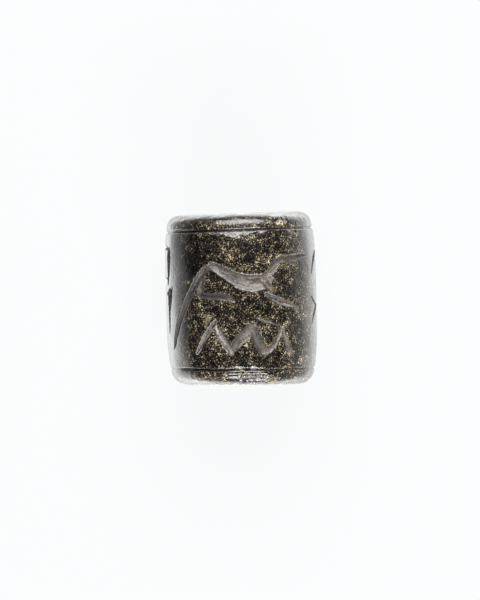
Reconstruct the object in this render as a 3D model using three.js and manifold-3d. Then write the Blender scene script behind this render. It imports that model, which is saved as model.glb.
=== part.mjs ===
// A squat cylinder seal of dark speckled stone, pierced lengthwise for a cord.
//
// Its picture is cut into the stone between two ruled lines: a long-tailed beast over a zigzag on the face that is
// up, a horned goat round one side and a plant round the other. Rolled on clay, the cuts print as relief.
// Millimetres, +Z up. The seal lies along Y on a small flat that keeps it from rolling, and the origin is on that
// flat, under the middle of the stone.
import * as THREE from "three";
import { mergeVertices } from "three/addons/utils/BufferGeometryUtils.js";
import Module from "manifold-3d";

const wasm = await Module();
wasm.setup();

// --- The turned stone: heights run along the axis, from the middle of the seal ---
const LENGTH = 20;
const END = LENGTH / 2;
const BELLY_RADIUS = 8.82; // where the barrel is thickest
const BELLY_HEIGHT = 0.5;
const BARREL_HALF = 8.5; // from the belly to where an end's rounding begins
const BARREL_TAPER = 0.37; // how much thinner the barrel is there
const TOP_ROUND = { inwards: 1.65, along: 1.45 };
const BASE_ROUND = { inwards: 2, along: 1.7 };
const BORE_WAIST = 2.95; // the cord hole was drilled from both ends and is narrowest halfway
const BORE_MOUTH = 3.35;
const BORE_LIP = 0.25;
const RULED_LINE = { top: 8.12, base: -8.05, width: 0.5, depth: 0.2 };
const TOP_LEAN = 0.01; // rise per millimetre across, of the top end and its ruled line
const BASE_LEAN = -0.02; // the base was cut a little out of square
const SIDE_WEAR = 0.022; // share of the radius that the +X side has lost to wear at both ends
const FLAT_DEPTH = 0.18; // what the resting flat takes off the belly

// --- How finely the curves are divided ---
const TURNS = 84;
const ROUND_STEPS = 5;
const BARREL_STEPS = 6;
const BORE_STEPS = 4;
const CUT_STEP = 0.9; // millimetres along a cut
const FEWEST_CUT_STEPS = 4;

// --- A cut's section: sloping walls down to a shallow trough ---
const FLOOR_SHARE = 0.5; // of the width
const FLOOR_DEPTH = 0.85; // of the depth, where the walls meet the trough
const CLEAR_ABOVE = 0.3; // a cutter stands this far out of the surface

// Each cut is a curve through its points: [angle round the seal in degrees, height, width, depth].
// Angle 0 is the top of the lying seal and grows towards +X.
const BEAST = {
  tail: [
    [-25, 3.85, 0.4, 0.15],
    [-32, 3.0, 0.95, 0.4],
    [-42, 1.3, 1.05, 0.45],
    [-52, -1.1, 1.1, 0.45],
    [-59, -3.4, 0.95, 0.4],
    [-66, -5.5, 0.2, 0.1],
  ],
  body: [
    [-24, 4.0, 0.35, 0.15],
    [-18, 3.75, 0.95, 0.4],
    [-10, 3.1, 1.2, 0.45],
    [-3, 2.35, 1.5, 0.5],
    [7, 1.85, 1.85, 0.55],
    [15, 2.0, 1.6, 0.5],
    [20, 2.5, 1.0, 0.4],
  ],
  shoulder: [
    [14, 2.3, 0.7, 0.4],
    [20, 1.6, 0.9, 0.4],
    [24.5, 0.95, 0.3, 0.15],
  ],
  neck: [
    [17, 2.5, 0.8, 0.4],
    [22, 3.0, 0.95, 0.4],
    [27, 3.9, 0.9, 0.4],
    [32, 4.6, 0.85, 0.35],
  ],
  head: [
    [29, 4.5, 0.6, 0.3],
    [37, 4.6, 0.75, 0.35],
    [48, 4.7, 0.65, 0.3],
    [59, 4.95, 0.15, 0.1],
  ],
  foreleg: [
    [19, 0.6, 0.3, 0.15],
    [24, 0.1, 0.65, 0.3],
    [32, -0.35, 0.75, 0.3],
    [41, -0.65, 0.6, 0.25],
    [50, -1.4, 0.3, 0.15],
  ],
  thigh: [
    [-34, 2.2, 0.3, 0.15],
    [-30.5, 2.15, 0.6, 0.3],
    [-31, 1.3, 0.8, 0.3],
    [-32, 0.6, 0.6, 0.3],
  ],
  hock: [
    [-33, 0.6, 0.5, 0.25],
    [-25, 0.5, 0.7, 0.3],
    [-14, 0.45, 0.7, 0.3],
    [-5, 0.05, 0.25, 0.12],
  ],
};

// The zigzag's corners, left to right, with the width of the cut that leaves each one.
const ZIGZAG = {
  depth: 0.35,
  overrun: 0.3, // how far each cut runs past its corners
  corners: [
    [-39, -6.05, 0.65],
    [-20, -2.6, 0.75],
    [-9, -6.1, 1.0],
    [7.5, -3.15, 1.1],
    [16.5, -6.2, 0.65],
    [31.5, -3.25, 0.45],
    [43.5, -6.6, 0],
  ],
};

const GOAT = {
  muzzle: [
    [-70.5, 5.9, 0.3, 0.15],
    [-74, 6.2, 0.5, 0.35],
    [-82, 6.35, 0.3, 0.15],
  ],
  neck: [
    [-73, 6.2, 0.7, 0.45],
    [-73.5, 4.8, 0.75, 0.5],
    [-75, 3.2, 0.6, 0.4],
    [-77, 1.9, 0.4, 0.3],
  ],
  horn: [
    [-78, 6.3, 0.3, 0.15],
    [-90, 6.4, 0.5, 0.3],
    [-103, 5.8, 0.5, 0.3],
    [-110, 4.4, 0.25, 0.12],
  ],
  body: [
    [-80, 2.3, 0.6, 0.3],
    [-92, 2.0, 1.2, 0.45],
    [-106, 1.8, 1.3, 0.45],
    [-122, 2.2, 0.7, 0.3],
  ],
  foreleg: [
    [-74.5, 1.2, 1.7, 0.5],
    [-74.5, 0.2, 1.3, 0.5],
    [-75, -1.4, 0.8, 0.4],
    [-76, -3.3, 0.25, 0.12],
  ],
  hind_leg: [
    [-119, 2.0, 0.9, 0.35],
    [-124, 0.2, 0.8, 0.35],
    [-119, -1.6, 0.6, 0.3],
    [-122, -3.6, 0.25, 0.12],
  ],
  tail: [
    [-122, 2.4, 0.4, 0.25],
    [-130, 2.0, 0.45, 0.25],
    [-133, 0.8, 0.2, 0.1],
  ],
};

const PLANT = {
  angle: 104,
  stem: { from: -5.6, to: 6.9, width: 0.7, depth: 0.35 },
  leaf: { width: 0.6, depth: 0.3 },
  // Each pair of leaves: where it leaves the stem, how far round its tips reach and how far they droop.
  leaves: [
    { height: 5.9, reach: 35, droop: 2.6 },
    { height: 2.8, reach: 19, droop: 1.6 },
    { height: -0.3, reach: 36, droop: 2.6 },
  ],
  roots: { height: -5.0, reach: 9, droop: 1.3 },
};

// A flake lost from the side of the barrel, low down.
const CHIP = [
  [86, -5.75, 0.4, 0.15],
  [90, -5.8, 0.75, 0.3],
  [94, -5.7, 0.4, 0.15],
];

/** Radius of the unworn barrel at a height. */
function barrelRadius(height) {
  const share = (height - BELLY_HEIGHT) / BARREL_HALF;
  return BELLY_RADIUS - BARREL_TAPER * share ** 4;
}

/** Rise per millimetre across at a height: the ends and ruled lines aren't quite square to the axis. */
function leanAt(height) {
  const share = THREE.MathUtils.clamp((height - RULED_LINE.base) / (RULED_LINE.top - RULED_LINE.base), 0, 1);
  return THREE.MathUtils.lerp(BASE_LEAN, TOP_LEAN, share);
}

/** Where a point of the straight, round stone lies once its leans and its worn side are taken into account. */
function asWorn(point) {
  const nearEnd = (point.y / END) ** 4;
  const towardsWornSide = Math.max(0, point.x) / Math.hypot(point.x, point.z);
  const kept = 1 - SIDE_WEAR * nearEnd * towardsWornSide;
  return new THREE.Vector3(point.x * kept, point.y + leanAt(point.y) * point.x, point.z * kept);
}

/** Outline of one rounded end, from the barrel to the flat of the end. */
function roundedEnd(side, round) {
  const start = side * (END - round.along);
  const radius = barrelRadius(start);
  return Array.from({ length: ROUND_STEPS + 1 }, (_, step) => {
    const turn = (step / ROUND_STEPS) * (Math.PI / 2);
    return new THREE.Vector2(
      radius - round.inwards * (1 - Math.cos(turn)),
      start + side * round.along * Math.sin(turn),
    );
  });
}

/** The three corners of a ruled line's notch, in rising order. */
function ruledNotch(height) {
  const { width, depth } = RULED_LINE;
  return [-width / 2, 0, width / 2].map(
    (along) => new THREE.Vector2(barrelRadius(height) - (along === 0 ? depth : 0), height + along),
  );
}

/** The wall of the cord hole from the top end down, with worn lips at both mouths. */
function boreWall() {
  const wall = Array.from({ length: BORE_STEPS + 1 }, (_, step) => {
    const share = 1 - (2 * step) / BORE_STEPS;
    const radius = BORE_WAIST + (BORE_MOUTH - BORE_WAIST) * share ** 2;
    return new THREE.Vector2(radius, share * (END - BORE_LIP));
  });
  return [
    new THREE.Vector2(BORE_MOUTH + BORE_LIP, END),
    ...wall,
    new THREE.Vector2(BORE_MOUTH + BORE_LIP, -END),
  ];
}

/** The stone before it was engraved. */
function turnedStone() {
  const first = RULED_LINE.base + RULED_LINE.width / 2;
  const last = RULED_LINE.top - RULED_LINE.width / 2;
  const barrel = Array.from({ length: BARREL_STEPS - 1 }, (_, step) => {
    const height = THREE.MathUtils.lerp(first, last, (step + 1) / BARREL_STEPS);
    return new THREE.Vector2(barrelRadius(height), height);
  });
  const outline = [
    ...roundedEnd(-1, BASE_ROUND).reverse(),
    ...ruledNotch(RULED_LINE.base),
    ...barrel,
    ...ruledNotch(RULED_LINE.top),
    ...roundedEnd(1, TOP_ROUND),
    ...boreWall(),
  ];
  outline.push(outline[0].clone());
  const stone = new THREE.LatheGeometry(outline, TURNS);
  const places = stone.getAttribute("position");
  for (let i = 0; i < places.count; i++) {
    const { x, y, z } = asWorn(new THREE.Vector3().fromBufferAttribute(places, i));
    places.setXYZ(i, x, y, z);
  }
  return stone;
}

/** A point at an angle round the seal, a height along it and a distance out from the barrel. */
function onSeal(angle, height, out) {
  const turn = THREE.MathUtils.degToRad(angle);
  const radius = barrelRadius(height) + out;
  return [radius * Math.sin(turn), height, radius * Math.cos(turn)];
}

/** Corners of a cutter's section: [across, out] pairs from one side of the cut to the other. */
function cutSection(width, depth) {
  const half = width / 2;
  const floor = half * FLOOR_SHARE;
  const rim = half + ((half - floor) * CLEAR_ABOVE) / (depth * FLOOR_DEPTH);
  return [
    [-rim, CLEAR_ABOVE],
    [-floor, -depth * FLOOR_DEPTH],
    [0, -depth],
    [floor, -depth * FLOOR_DEPTH],
    [rim, CLEAR_ABOVE],
  ];
}

/** The closed solid that a cut takes away, swept along its curve and wrapped round the barrel. */
function cutter(points) {
  const degree = THREE.MathUtils.degToRad(BELLY_RADIUS); // millimetres of surface per degree
  const path = new THREE.CatmullRomCurve3(
    points.map(([angle, height]) => new THREE.Vector3(angle * degree, height, 0)),
  );
  const gauge = new THREE.CatmullRomCurve3(
    points.map(([, , width, depth]) => new THREE.Vector3(width, depth, 0)),
  );
  const steps = Math.max(FEWEST_CUT_STEPS, Math.round(path.getLength() / CUT_STEP));
  const corners = cutSection(1, 1).length;
  const places = [];
  for (let step = 0; step <= steps; step++) {
    const share = step / steps;
    const { x, y } = path.getPoint(share);
    const ahead = path.getTangent(share);
    const size = gauge.getPoint(share);
    for (const [across, out] of cutSection(size.x, size.y))
      places.push(...onSeal((x - ahead.y * across) / degree, y + ahead.x * across, out));
  }
  const faces = [];
  for (let step = 0; step < steps; step++)
    for (let corner = 0; corner < corners; corner++) {
      const here = step * corners + corner;
      const beside = step * corners + ((corner + 1) % corners);
      faces.push(here, beside, here + corners, beside, beside + corners, here + corners);
    }
  const last = steps * corners;
  for (let corner = 1; corner < corners - 1; corner++) {
    faces.push(0, corner + 1, corner);
    faces.push(last, last + corner, last + corner + 1);
  }
  const geometry = new THREE.BufferGeometry();
  geometry.setAttribute("position", new THREE.Float32BufferAttribute(places, 3));
  geometry.setIndex(faces);
  return geometry;
}

/** The zigzag's straight cuts, one from each corner to the next. */
function zigzagCuts() {
  const { corners, depth, overrun } = ZIGZAG;
  return corners.slice(0, -1).map(([angle, height, width], i) => {
    const [nextAngle, nextHeight] = corners[i + 1];
    const at = (share, size) => [
      THREE.MathUtils.lerp(angle, nextAngle, share),
      THREE.MathUtils.lerp(height, nextHeight, share),
      width * size,
      depth * size,
    ];
    const past = overrun / Math.hypot(nextHeight - height, THREE.MathUtils.degToRad(nextAngle - angle) * BELLY_RADIUS);
    return [at(-past, 0.3), at(0.25, 1), at(0.75, 1), at(1 + past, 0.3)];
  });
}

/** The plant: a stem, arching pairs of leaves and two roots. */
function plantCuts() {
  const { angle, stem, leaf, leaves, roots } = PLANT;
  const middle = (stem.from + stem.to) / 2;
  const cuts = [
    [
      [angle, stem.from, stem.width / 2, stem.depth / 2],
      [angle, middle, stem.width, stem.depth],
      [angle, stem.to, stem.width / 3, stem.depth / 3],
    ],
  ];
  for (const { height, reach, droop } of [...leaves, roots])
    for (const side of [-1, 1])
      cuts.push([
        [angle, height, leaf.width / 2, leaf.depth],
        [angle + side * reach * 0.45, height - droop * 0.1, leaf.width, leaf.depth],
        [angle + side * reach * 0.8, height - droop * 0.45, leaf.width, leaf.depth],
        [angle + side * reach, height - droop, leaf.width / 3, leaf.depth / 3],
      ]);
  return cuts;
}

/** The slab under the seal that leaves the flat it rests on. */
function flatCutter() {
  const side = 4 * END;
  return new THREE.BoxGeometry(side, side, side).translate(0, 0, FLAT_DEPTH - BELLY_RADIUS - side / 2);
}

/** A closed mesh as a solid that can be cut. */
function solid(geometry) {
  const bare = geometry.clone();
  bare.deleteAttribute("normal");
  bare.deleteAttribute("uv");
  const merged = mergeVertices(bare);
  return new wasm.Manifold(
    new wasm.Mesh({
      numProp: 3,
      vertProperties: merged.getAttribute("position").array,
      triVerts: new Uint32Array(merged.index.array),
    }),
  );
}

/** A cut solid as a mesh again, set down with the origin under its centre. */
function setDown(made) {
  const { vertProperties, triVerts } = made.getMesh();
  const geometry = new THREE.BufferGeometry();
  geometry.setAttribute("position", new THREE.BufferAttribute(vertProperties, 3));
  geometry.setIndex(new THREE.BufferAttribute(triVerts, 1));
  geometry.computeBoundingBox();
  const { min, max } = geometry.boundingBox;
  geometry.translate(-(min.x + max.x) / 2, -(min.y + max.y) / 2, -min.z);
  geometry.computeVertexNormals();
  return geometry;
}

function buildSeal() {
  const cuts = [...Object.values(BEAST), ...zigzagCuts(), ...Object.values(GOAT), ...plantCuts(), CHIP];
  let stone = solid(turnedStone()).subtract(solid(flatCutter()));
  for (const points of cuts) stone = stone.subtract(solid(cutter(points)));
  const seal = new THREE.Mesh(
    setDown(stone),
    new THREE.MeshStandardMaterial({ color: 0x2e2a25, roughness: 0.42, metalness: 0 }),
  );
  seal.name = "seal_stone";
  return seal;
}

const cylinderSeal = new THREE.Group();
cylinderSeal.add(buildSeal());

export default cylinderSeal;
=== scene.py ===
"""A squat cylinder seal of dark speckled stone, engraved with a long-tailed beast over a zigzag.

The seal lies along +Y on a small flat, with the beast up. Every shape is worked out in millimetres from the
middle of the seal's axis, as angles round the barrel and heights along it, and is then laid in the frame.
"""

from __future__ import annotations

import logging
import math
from collections.abc import Iterable, Mapping
from dataclasses import dataclass, field
from enum import Enum
from typing import Any

import bpy
import numpy as np
from mathutils import Matrix, Vector

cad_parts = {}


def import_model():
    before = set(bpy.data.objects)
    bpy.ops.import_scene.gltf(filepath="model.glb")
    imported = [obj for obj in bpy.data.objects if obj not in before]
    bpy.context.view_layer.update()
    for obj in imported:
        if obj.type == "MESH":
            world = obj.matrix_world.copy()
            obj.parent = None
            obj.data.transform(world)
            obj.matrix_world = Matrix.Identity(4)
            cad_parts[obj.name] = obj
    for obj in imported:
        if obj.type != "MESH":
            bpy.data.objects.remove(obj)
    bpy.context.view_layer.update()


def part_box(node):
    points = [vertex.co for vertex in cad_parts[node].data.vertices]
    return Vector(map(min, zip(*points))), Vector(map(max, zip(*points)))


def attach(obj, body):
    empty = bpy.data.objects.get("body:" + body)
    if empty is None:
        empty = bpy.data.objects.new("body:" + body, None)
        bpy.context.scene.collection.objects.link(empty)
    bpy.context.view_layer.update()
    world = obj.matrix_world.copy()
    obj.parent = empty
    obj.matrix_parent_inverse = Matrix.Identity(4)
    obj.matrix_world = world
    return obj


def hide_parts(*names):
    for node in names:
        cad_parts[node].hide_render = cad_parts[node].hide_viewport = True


LOG = logging.getLogger("cylinder_seal")
MM = 0.001
NODE = "seal_stone"
BARREL_SHARE = 0.8  # of the belly's radius: further out than this is the barrel, not an end or the cord hole

Array = np.ndarray
CutPoint = tuple[float, float, float, float]
Colour = tuple[float, float, float, float]


def smooth_step(low: float, high: float, value: Array) -> Array:
    """Ramp that eases from 0 at low to 1 at high."""
    share = np.clip((value - low) / (high - low), 0.0, 1.0)
    return share * share * (3.0 - 2.0 * share)


def hump(centre: float, half: float, value: Array) -> Array:
    """Soft bump, 1 at its centre and 0 beyond half on either side."""
    return 1.0 - smooth_step(0.0, 1.0, np.abs(value - centre) / half)


# --- The stone's own unevenness ---


@dataclass(frozen=True)
class Unevenness:
    """Smooth random relief, the same each time, fixed in the stone so that it has no seam.

    Attributes:
        grain: Millimetres from one bump to the next.
        seed: Picks one pattern among many.
        octaves: How many times finer relief, half as strong, is laid over it.
    """

    grain: float
    seed: int
    octaves: int = 1

    def at(self, points: Array) -> Array:
        """Relief at each point, between about -1 and 1.

        Args:
            points: Places in millimetres, one row each.

        Returns:
            One value a point.
        """
        total = np.zeros(len(points))
        for octave in range(self.octaves):
            fineness = 2.0**octave
            total += self._layer(points * fineness / self.grain, self.seed + 101 * octave) / fineness
        return total

    @staticmethod
    def _layer(places: Array, seed: int) -> Array:
        """One layer of relief on a lattice of unit cells."""
        cell = np.floor(places).astype(np.int64)
        inside = places - cell
        fade = inside * inside * (3.0 - 2.0 * inside)
        total = np.zeros(len(places))
        for corner in range(8):
            offset = np.array([corner & 1, corner >> 1 & 1, corner >> 2 & 1])
            weight = np.prod(np.where(offset, fade, 1.0 - fade), axis=1)
            total += weight * Unevenness._corner(cell + offset, seed)
        return total

    @staticmethod
    def _corner(lattice: Array, seed: int) -> Array:
        """A fixed random value, -1 to 1, at each lattice corner."""
        mixed = lattice @ np.array([374761393, 668265263, 1103515245]) + seed * 1274126177
        mixed = ((mixed ^ (mixed >> 13)) * 1274126177) & 0xFFFFFFFF
        return ((mixed ^ (mixed >> 16)) & 0xFFFF) / 32767.5 - 1.0


# --- The turned and bored stone ---


@dataclass(frozen=True)
class Rounding:
    """A quarter of an ellipse that turns the barrel into an end.

    Attributes:
        inwards: Its size towards the axis.
        along: Its size along the axis.
    """

    inwards: float
    along: float


@dataclass(frozen=True)
class TurnedStone:
    """The seal before it was engraved.

    Attributes:
        belly_radius: Radius where the barrel is thickest.
        length: From end to end along the axis.
        belly_height: Where along the axis the barrel is thickest.
        barrel_half: From the belly to where an end's rounding begins.
        barrel_taper: How much thinner the barrel is there.
        top_round: Rounding of the top end.
        base_round: Rounding of the base.
        bore_waist: Radius of the cord hole halfway.
        bore_mouth: Radius of the cord hole at the ends.
        bore_lip: Bevel of the cord hole's mouths.
        top_lean: Rise per millimetre across of the top end.
        base_lean: Rise per millimetre across of the base.
        side_wear: Share of the radius lost at both ends on the +X side.
        flat_depth: What the resting flat takes off the belly.
        fine_step: Spacing of the surface's rings where it is engraved.
    """

    belly_radius: float
    length: float = 20.0
    belly_height: float = 0.5
    barrel_half: float = 8.5
    barrel_taper: float = 0.37
    top_round: Rounding = Rounding(1.65, 1.45)
    base_round: Rounding = Rounding(2.0, 1.7)
    bore_waist: float = 2.95
    bore_mouth: float = 3.35
    bore_lip: float = 0.25
    top_lean: float = 0.01
    base_lean: float = -0.02
    side_wear: float = 0.022
    flat_depth: float = 0.18
    fine_step: float = 0.08

    @property
    def end(self) -> float:
        """Height of the top end."""
        return self.length / 2

    def barrel_radius(self, height: Array | float) -> Array | float:
        """Radius of the unworn barrel at a height."""
        share = (height - self.belly_height) / self.barrel_half
        return self.belly_radius - self.barrel_taper * share**4

    def lean(self, height: Array) -> Array:
        """Rise per millimetre across at a height, from the base's to the top's."""
        share = np.clip(height / (0.8 * self.end) / 2 + 0.5, 0.0, 1.0)
        return self.base_lean + (self.top_lean - self.base_lean) * share

    def worn(self, points: Array) -> Array:
        """Moves points of a straight, round stone to where its leans, worn side and flat put them."""
        x, y, z = points.T
        towards_worn_side = np.maximum(x, 0.0) / np.hypot(x, z)
        kept = 1.0 - self.side_wear * (y / self.end) ** 4 * towards_worn_side
        resting = self.flat_depth - self.belly_radius
        return np.column_stack([x * kept, y + self.lean(y) * x, np.maximum(z * kept, resting)])

    def _ellipse(self, side: int, rounding: Rounding, upwards: bool) -> Array:
        """Points of one end's rounding, as [radius, height], in rising or falling order of height."""
        start = side * (self.end - rounding.along)
        count = math.ceil(math.hypot(rounding.inwards, rounding.along) * 1.1 / self.fine_step)
        turn = np.linspace(0.0, math.pi / 2, count + 1)
        radius = self.barrel_radius(start) - rounding.inwards * (1.0 - np.cos(turn))
        height = start + side * rounding.along * np.sin(turn)
        points = np.column_stack([radius, height])
        return points if upwards == (side > 0) else points[::-1]

    def outline(self) -> tuple[Array, Array]:
        """The closed line that is turned round the axis to make the stone.

        Returns:
            The line's points and the outward normals there, both as [radius, height] rows. It runs out across
            the base, up the barrel, in across the top and down the cord hole.
        """
        base = self._ellipse(-1, self.base_round, upwards=True)
        top = self._ellipse(1, self.top_round, upwards=True)
        mouth = self.bore_mouth + self.bore_lip
        rise = top[0, 1] - base[-1, 1]
        heights = np.linspace(base[-1, 1], top[0, 1], math.ceil(rise / self.fine_step) + 1)[1:-1]
        barrel = np.column_stack([self.barrel_radius(heights), heights])
        end_steps = 14
        base_end = np.column_stack(
            [np.linspace(mouth, base[0, 0], end_steps, endpoint=False), np.full(end_steps, -self.end)]
        )
        top_end = np.column_stack(
            [np.linspace(top[-1, 0], mouth, end_steps + 1)[1:], np.full(end_steps, self.end)]
        )
        share = np.linspace(1.0, -1.0, 44)
        bore = np.column_stack(
            [
                self.bore_waist + (self.bore_mouth - self.bore_waist) * share**2,
                share * (self.end - self.bore_lip),
            ]
        )
        line = np.concatenate([base_end, base, barrel, top, top_end, bore])
        way = np.roll(line, -1, axis=0) - np.roll(line, 1, axis=0)
        normals = np.column_stack([way[:, 1], -way[:, 0]]) / np.linalg.norm(way, axis=1)[:, None]
        return line, normals


# --- The engraving ---


@dataclass(frozen=True)
class Cut:
    """One cut of the graver, a curve round the barrel.

    Attributes:
        points: The curve's [angle in degrees, height, width, depth] points. Angle 0 is up and grows to +X.
        skew: Where the cut is deepest across its width, from -1 at the left of its way to 1 at the right.
        wall: How steep its short side is, 1 for a straight slope.
        slope: The same for its long side, where it is skewed.
        earth: How much orange-brown earth has stayed against its short side.
        pale_and_highlight: How far its long side is painted pale, partly rubbed cut stone and partly a
            painted highlight where that side faces the light.
        striation: How strongly the tool's scratches along it show.
        rim_wear_and_highlight: How far the edge above its short side is painted pale, as a rubbed edge and a
            painted highlight.
        shade_and_dirt_fill: How far its whole floor is painted near-black, as painted shade and dirt.
    """

    points: tuple[CutPoint, ...]
    skew: float = 0.0
    wall: float = 2.2
    slope: float = 1.4
    earth: float = 0.0
    pale_and_highlight: float = 0.0
    striation: float = 1.0
    rim_wear_and_highlight: float = 0.1
    shade_and_dirt_fill: float = 0.0

    def sampled(self, degree: float, step: float = 0.12) -> Array:
        """The curve as closely spaced [across the barrel, height, half width, depth] rows, in millimetres."""
        placed = [(angle * degree, height, width / 2, depth) for angle, height, width, depth in self.points]
        given = np.array(placed)
        padded = np.vstack([2 * given[0] - given[1], given, 2 * given[-1] - given[-2]])
        stretches = []
        for before, start, finish, after in zip(padded, padded[1:], padded[2:], padded[3:]):
            count = max(2, math.ceil(np.hypot(*(finish - start)[:2]) / step))
            t = np.linspace(0.0, 1.0, count, endpoint=False)[:, None]
            bend = (2 * before - 5 * start + 4 * finish - after) * t**2
            bend = bend + (3 * start - before - 3 * finish + after) * t**3
            stretches.append(0.5 * (2 * start + (finish - before) * t + bend))
        rows = np.vstack([*stretches, given[-1:]])
        rows[:, 2:] = np.maximum(rows[:, 2:], 0.01)
        return rows


@dataclass
class CutSurface:
    """What the engraving has done at a set of points on the barrel.

    Attributes:
        depth: Millimetres of stone taken away.
        floor: 1 where the surface is cut stone, 0 where it is the old polish.
        earth: 1 where earth fills the cut.
        pale_and_highlight: 1 where the stone is painted pale, partly rubbed or worn stone and partly a
            painted highlight on slopes, edges and shoulders that face the lights.
        streak: The tool's scratches, -1 to 1.
        shade_and_dirt: 1 where the colour is painted near-black, as painted shade in narrow lines and on
            cuts' steep sides, partly also dirt.
    """

    depth: Array
    floor: Array
    earth: Array
    pale_and_highlight: Array
    streak: Array
    shade_and_dirt: Array

    @classmethod
    def untouched(cls, count: int) -> CutSurface:
        """The surface at a number of points before anything is cut."""
        return cls(*(np.zeros(count) for _ in range(6)))


@dataclass(frozen=True)
class Engraving:
    """All the cuts in the barrel.

    Attributes:
        cuts: The cuts, in any order.
        degree: Millimetres of surface per degree.
        raggedness: How far the cuts' edges stray.
    """

    cuts: tuple[Cut, ...]
    degree: float
    raggedness: float = 0.06

    def at(self, angle: Array, height: Array, places: Array) -> CutSurface:
        """What the cuts have done to points of the barrel.

        Args:
            angle: Each point's angle round the barrel, -180 to 180 degrees.
            height: Each point's height.
            places: The same points in space, for the stone's unevenness.

        Returns:
            Depth, bared floor, earth and the rest at each point.
        """
        stray = self.raggedness
        across = angle * self.degree + stray * Unevenness(0.45, 11, 2).at(places)
        along = height + stray * Unevenness(0.45, 12, 2).at(places)
        surface = CutSurface.untouched(len(angle))
        for number, cut in enumerate(self.cuts):
            self._make(number, cut, across, along, surface)
        return surface

    def _make(self, number: int, cut: Cut, across: Array, along: Array, surface: CutSurface) -> None:
        """Takes one cut out of the surface."""
        path = cut.sampled(self.degree)
        reach = path[:, 2].max() + 0.1
        low, high = path[:, :2].min(axis=0) - reach, path[:, :2].max(axis=0) + reach
        near = np.flatnonzero((across > low[0]) & (across < high[0]) & (along > low[1]) & (along < high[1]))
        if not len(near):
            return
        best = np.full(len(near), np.inf)
        side, half, depth, run = (np.zeros(len(near)) for _ in range(4))
        here = np.column_stack([across[near], along[near]])
        done = 0.0
        for start, finish in zip(path, path[1:]):
            way = (finish - start)[:2]
            length = math.hypot(*way)
            if length < 1e-6:
                continue
            gap = here - start[:2]
            share = np.clip(gap @ way / length**2, 0.0, 1.0)
            away = np.hypot(*(gap - share[:, None] * way).T)
            width = start[2] + share * (finish[2] - start[2])
            closer = away - width < best
            best = np.where(closer, away - width, best)
            right = np.sign(gap[:, 0] * way[1] - gap[:, 1] * way[0])
            side = np.where(closer, right * away / width, side)
            half = np.where(closer, width, half)
            depth = np.where(closer, start[3] + share * (finish[3] - start[3]), depth)
            run = np.where(closer, done + share * length, run)
            done += length
        keel = 0.6 * cut.skew
        beyond = side - keel
        share = np.clip(np.where(beyond > 0, beyond / (1.0 - keel), -beyond / (1.0 + keel)), 0.0, 1.0)
        long_side = cut.skew * beyond < 0
        bowl = 1.0 - share ** np.where(long_side, cut.slope, cut.wall)
        scratch = np.column_stack([side * half / 0.2, run / 1.6, np.full(len(near), 7.3 * number)])
        streak = Unevenness(1.0, 21, 2).at(scratch)
        new = depth * bowl * (1.0 + 0.14 * cut.striation * streak)
        old = surface.depth[near]
        surface.depth[near] = (old**6 + np.maximum(new, 0.0) ** 6) ** (1 / 6)
        inside = smooth_step(1.06, 0.9, np.abs(side)) * (best < 0.1)
        surface.floor[near] = np.maximum(surface.floor[near], inside)
        surface.streak[near] = np.where(new > 0.8 * old, streak * inside, surface.streak[near])
        # Painted highlight, partly rubbed stone: the long side, which faces the light, is painted pale, the
        # short side a little.
        rubbed_and_highlit = inside * np.where(long_side, smooth_step(0.0, 0.5, share), 0.35)
        kept = surface.pale_and_highlight[near] * (new < 0.9 * old + 0.02)
        # Painted highlight along the cut's edge, partly also a rubbed rim.
        rim_wear_and_highlight = cut.rim_wear_and_highlight * hump(0.06, 0.1, best) * np.where(long_side, 0.5, 1.0) * (old < 0.02)
        surface.pale_and_highlight[near] = np.maximum(np.maximum(kept, cut.pale_and_highlight * rubbed_and_highlit), rim_wear_and_highlight)
        filled = smooth_step(1.3, 0.95, np.abs(side)) * np.where(long_side, 0.3, 1.0)
        surface.earth[near] = np.maximum(surface.earth[near], cut.earth * filled)
        # Painted shade: the cut's steep short side is painted dark, and its whole floor as far as its fill
        # asks, partly as dirt.
        shaded = inside * np.maximum(smooth_step(0.4, 0.85, share) * np.where(long_side, 0.0, 0.6), cut.shade_and_dirt_fill)
        surface.shade_and_dirt[near] = np.maximum(surface.shade_and_dirt[near], shaded)


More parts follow.
